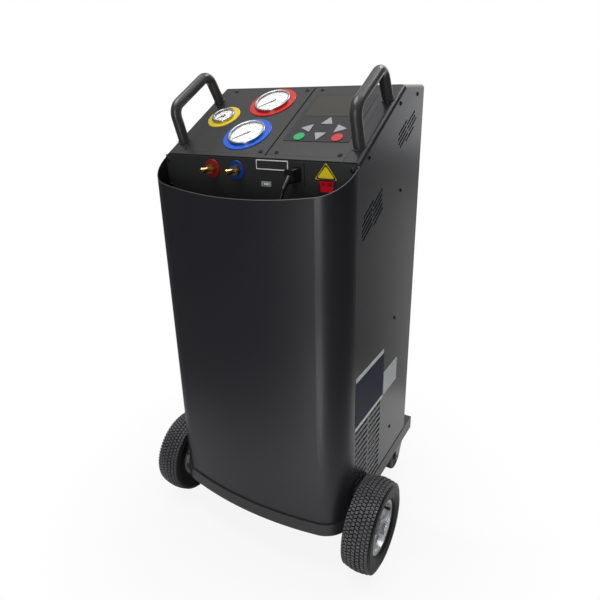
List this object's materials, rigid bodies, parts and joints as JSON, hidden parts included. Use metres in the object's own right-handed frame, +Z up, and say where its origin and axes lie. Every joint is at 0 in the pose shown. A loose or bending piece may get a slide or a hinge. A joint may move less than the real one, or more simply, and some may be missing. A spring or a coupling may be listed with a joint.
{
  "type": "air conditioning recharge station",
  "caption": "Wheeled sheet steel service station with a sloping console of pressure gauges, display and keys, a bowed front, service ports and a pocket holding its mains lead.",
  "frame": {"origin": "on the floor under the middle of the footprint, between the crest of the bowed front and the rear edge of the platform", "axes": "+X to the cabinet's right side as seen from the front, -Y to the front, +Z up"},
  "size_m": [0.5866, 0.4749, 1.0374],
  "materials": {
    "black_enamel": "fine satin powder coat",
    "side_enamel": "fine satin powder coat",
    "base_enamel": "satin powder coat",
    "inner_steel": "zinc plated sheet",
    "panel_plastic": "moulded, fine grain",
    "overlay": "glossy film",
    "circuit_board": "lacquered board",
    "grey_key": "smooth",
    "green_key": "smooth",
    "red_key": "smooth",
    "red_rocker": "translucent moulding",
    "zinc_steel": "bright zinc",
    "rim_steel": "silver paint on pressed steel",
    "screw_black": "black oxide",
    "tyre_rubber": "matt tread",
    "caster_rubber": "smooth",
    "gauge_steel": "rolled bright steel",
    "dial_white": "printed",
    "gauge_glass": "clear",
    "ring_red": "smooth",
    "ring_blue": "smooth",
    "ring_yellow": "smooth",
    "needle_black": "matt",
    "washers": "one red and one blue ring",
    "brass": "turned",
    "cord_pvc": "smooth sheath",
    "aluminium_fins": "pressed fins",
    "fan_plastic": "moulded",
    "compressor_black": "gloss enamel",
    "pump_blue": "enamel",
    "drier_grey": "enamel",
    "cylinder_grey": "enamel"
  },
  "bodies": {
    "cabinet": {"axle": "zinc_steel", "back_panel": "side_enamel", "base_tray": "base_enamel", "caster_plates": "zinc_steel", "compressor": "compressor_black", "condenser": "aluminium_fins", "connection_panel": "panel_plastic", "console_frame": "black_enamel", "control_board": "circuit_board", "control_overlay": "overlay", "control_panel": "black_enamel", "fan_motor": "inner_steel", "filter_drier": "drier_grey", "front_cover": "black_enamel", "gauge_cases": "gauge_steel", "gauge_dials": "dial_white", "gauge_lenses": "gauge_glass", "gauge_panel": "black_enamel", "high_gauge_ring": "ring_red", "inner_bulkhead": "inner_steel", "lead_connector": "cord_pvc", "left_handle": "black_enamel", "left_side_panel": "side_enamel", "low_gauge_ring": "ring_blue", "mains_lead": "cord_pvc", "mains_lead_coil": "cord_pvc", "mains_plug": "cord_pvc", "panel_screws": "screw_black", "port_washers": "washers", "power_inlet": "panel_plastic", "power_supply": "inner_steel", "refrigerant_cylinder": "cylinder_grey", "right_handle": "black_enamel", "right_side_panel": "side_enamel", "scale_platform": "inner_steel", "service_ports": "brass", "switch_housing": "panel_plastic", "tank_gauge_ring": "ring_yellow", "usb_socket": "zinc_steel", "vacuum_pump": "pump_blue", "valve_manifold": "brass"},
    "left_wheel": {"left_tyre": "tyre_rubber", "left_wheel_rim": "rim_steel"},
    "right_wheel": {"right_tyre": "tyre_rubber", "right_wheel_rim": "rim_steel"},
    "left_caster_swivel": {"left_caster_fork": "zinc_steel"},
    "right_caster_swivel": {"right_caster_fork": "zinc_steel"},
    "left_caster_roll": {"left_caster_wheel": "caster_rubber"},
    "right_caster_roll": {"right_caster_wheel": "caster_rubber"},
    "high_pointer": {"high_needle": "needle_black"},
    "low_pointer": {"low_needle": "needle_black"},
    "tank_pointer": {"tank_needle": "needle_black"},
    "condenser_fan": {"fan_blades": "fan_plastic"},
    "power_rocker": {"mains_rocker": "red_rocker"},
    "up_button": {"up_key": "grey_key"},
    "down_button": {"down_key": "grey_key"},
    "left_button": {"left_key": "grey_key"},
    "right_button": {"right_key": "grey_key"},
    "start_button": {"start_key": "green_key"},
    "stop_button": {"stop_key": "red_key"}
  },
  "joints": [
    {"name": "left_wheel_turn", "type": "hinge", "parent": "cabinet", "child": "left_wheel", "pos_m": [-0.258, -0.1305, 0.1015], "axis": [1, 0, 0], "continuous": true},
    {"name": "left_caster_turn", "type": "hinge", "parent": "cabinet", "child": "left_caster_swivel", "pos_m": [-0.188, 0.2025, 0.09], "axis": [0, 0, 1], "continuous": true},
    {"name": "left_caster_spin", "type": "hinge", "parent": "left_caster_swivel", "child": "left_caster_roll", "pos_m": [-0.188, 0.1805, 0.0375], "axis": [1, 0, 0], "continuous": true},
    {"name": "right_wheel_turn", "type": "hinge", "parent": "cabinet", "child": "right_wheel", "pos_m": [0.258, -0.1305, 0.1015], "axis": [1, 0, 0], "continuous": true},
    {"name": "right_caster_turn", "type": "hinge", "parent": "cabinet", "child": "right_caster_swivel", "pos_m": [0.188, 0.2025, 0.09], "axis": [0, 0, 1], "continuous": true},
    {"name": "right_caster_spin", "type": "hinge", "parent": "right_caster_swivel", "child": "right_caster_roll", "pos_m": [0.188, 0.1805, 0.0375], "axis": [1, 0, 0], "continuous": true},
    {"name": "high_pointer_turn", "type": "hinge", "parent": "cabinet", "child": "high_pointer", "pos_m": [-0.054, 0.01081, 0.97678], "axis": [0, -0.5018, 0.865], "range_deg": [-270, 0], "stiffness_Nm_per_rad": 0.002, "springref_deg": 17.19},
    {"name": "low_pointer_turn", "type": "hinge", "parent": "cabinet", "child": "low_pointer", "pos_m": [-0.054, -0.08779, 0.91957], "axis": [0, -0.5018, 0.865], "range_deg": [-270, 0], "stiffness_Nm_per_rad": 0.002, "springref_deg": 17.19},
    {"name": "tank_pointer_turn", "type": "hinge", "parent": "cabinet", "child": "tank_pointer", "pos_m": [-0.15, -0.03676, 0.94918], "axis": [0, -0.5018, 0.865], "range_deg": [-270, 0], "stiffness_Nm_per_rad": 0.002, "springref_deg": 17.19},
    {"name": "up_press", "type": "slide", "parent": "cabinet", "child": "up_button", "axis": [0, 0.5018, -0.865], "range_m": [0, 0.0008], "stiffness_N_per_m": 400, "springref_m": -0.0015},
    {"name": "down_press", "type": "slide", "parent": "cabinet", "child": "down_button", "axis": [0, 0.5018, -0.865], "range_m": [0, 0.0008], "stiffness_N_per_m": 400, "springref_m": -0.0015},
    {"name": "left_press", "type": "slide", "parent": "cabinet", "child": "left_button", "axis": [0, 0.5018, -0.865], "range_m": [0, 0.0008], "stiffness_N_per_m": 400, "springref_m": -0.0015},
    {"name": "right_press", "type": "slide", "parent": "cabinet", "child": "right_button", "axis": [0, 0.5018, -0.865], "range_m": [0, 0.0008], "stiffness_N_per_m": 400, "springref_m": -0.0015},
    {"name": "start_press", "type": "slide", "parent": "cabinet", "child": "start_button", "axis": [0, 0.5018, -0.865], "range_m": [0, 0.0008], "stiffness_N_per_m": 400, "springref_m": -0.0015},
    {"name": "stop_press", "type": "slide", "parent": "cabinet", "child": "stop_button", "axis": [0, 0.5018, -0.865], "range_m": [0, 0.0008], "stiffness_N_per_m": 400, "springref_m": -0.0015},
    {"name": "mains_switch", "type": "hinge", "parent": "cabinet", "child": "power_rocker", "pos_m": [0.161, -0.1495, 0.838], "axis": [1, 0, 0], "range_deg": [-18, 0]},
    {"name": "fan_turn", "type": "hinge", "parent": "cabinet", "child": "condenser_fan", "pos_m": [0.1781, -0.0695, 0.247], "axis": [1, 0, 0], "continuous": true}
  ]
}
